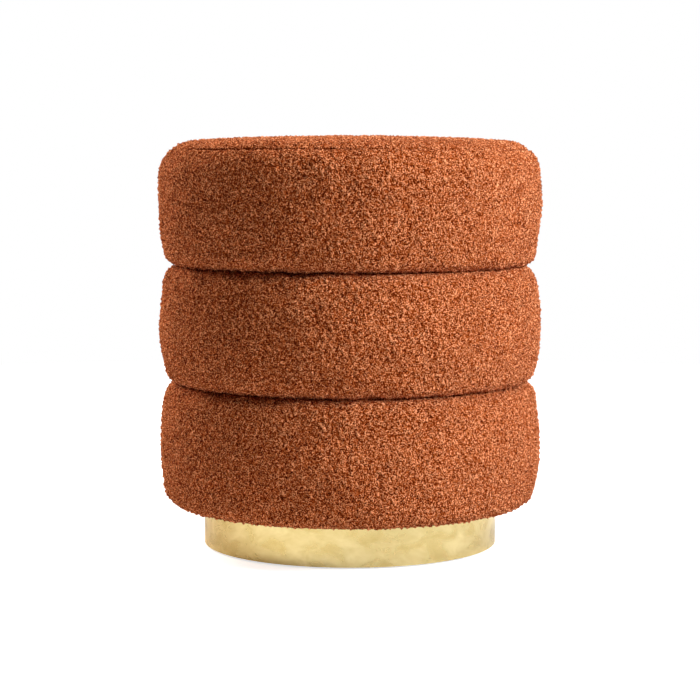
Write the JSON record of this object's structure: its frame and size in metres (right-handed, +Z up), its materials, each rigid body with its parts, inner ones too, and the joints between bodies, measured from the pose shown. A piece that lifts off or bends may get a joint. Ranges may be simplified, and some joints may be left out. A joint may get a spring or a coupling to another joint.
{
  "type": "ottoman with storage",
  "caption": "Round storage ottoman of stacked padded boucle rolls on a recessed gold metal plinth; the top roll lifts off as the lid of a lined storage space.",
  "frame": {"origin": "on the floor, on the ottoman's axis", "axes": "+Z up along the ottoman's axis of turning, front towards -Y; the plinth band's butt seam is at the back, towards +Y"},
  "size_m": [0.3999, 0.4, 0.429],
  "materials": {
    "rust_boucle": "looped boucle, matte",
    "gold_metal": "satin gold coating, lightly brushed",
    "black_cloth": "non-woven, matte",
    "lining_cloth": "plain weave, matte",
    "foam": "open-cell foam, matte",
    "wadding": "polyester wadding, matte",
    "fibreboard": "sanded fibreboard, matte",
    "plywood": "sanded plywood, matte",
    "softwood": "planed pine, matte",
    "hardboard": "smooth hardboard, matte",
    "webbing": "woven tape, matte",
    "black_plastic": "matte",
    "zinc_steel": "zinc plated, satin"
  },
  "bodies": {
    "base": {"lower_roll_cover": "rust_boucle", "middle_roll_cover": "rust_boucle", "plinth_band": "gold_metal", "dust_cover": "black_cloth", "floor_lining": "lining_cloth", "wall_lining": "lining_cloth", "foam_roll_lower": "foam", "foam_roll_middle": "foam", "plinth_board": "fibreboard", "plinth_ring": "fibreboard", "base_board": "plywood", "rim_ring": "plywood", "frame_batten_1": "softwood", "frame_batten_2": "softwood", "frame_batten_3": "softwood", "frame_batten_4": "softwood", "frame_batten_5": "softwood", "frame_batten_6": "softwood", "outer_wall": "hardboard", "inner_wall": "hardboard", "floor_panel": "hardboard", "groove_pull_strip": "webbing", "floor_glides": "black_plastic", "plinth_board_screws": "zinc_steel", "plinth_screws": "zinc_steel", "batten_screws_lower": "zinc_steel", "batten_screws_upper": "zinc_steel", "base_staples": "zinc_steel", "rim_staples": "zinc_steel", "pull_strip_staples": "zinc_steel"},
    "lid": {"lid_board": "plywood", "locating_disc": "fibreboard", "lid_foam": "foam", "lid_top_wadding": "wadding", "lid_edge_wadding": "wadding", "lid_side_cover": "rust_boucle", "lid_top_cover": "rust_boucle", "lid_under_lining": "lining_cloth", "locating_disc_screws": "zinc_steel", "lid_staples": "zinc_steel"}
  },
  "joints": [
    {"name": "lid_lift", "type": "slide", "parent": "base", "child": "lid", "axis": [0, 0, 1], "range_m": [0, 0.25]}
  ]
}
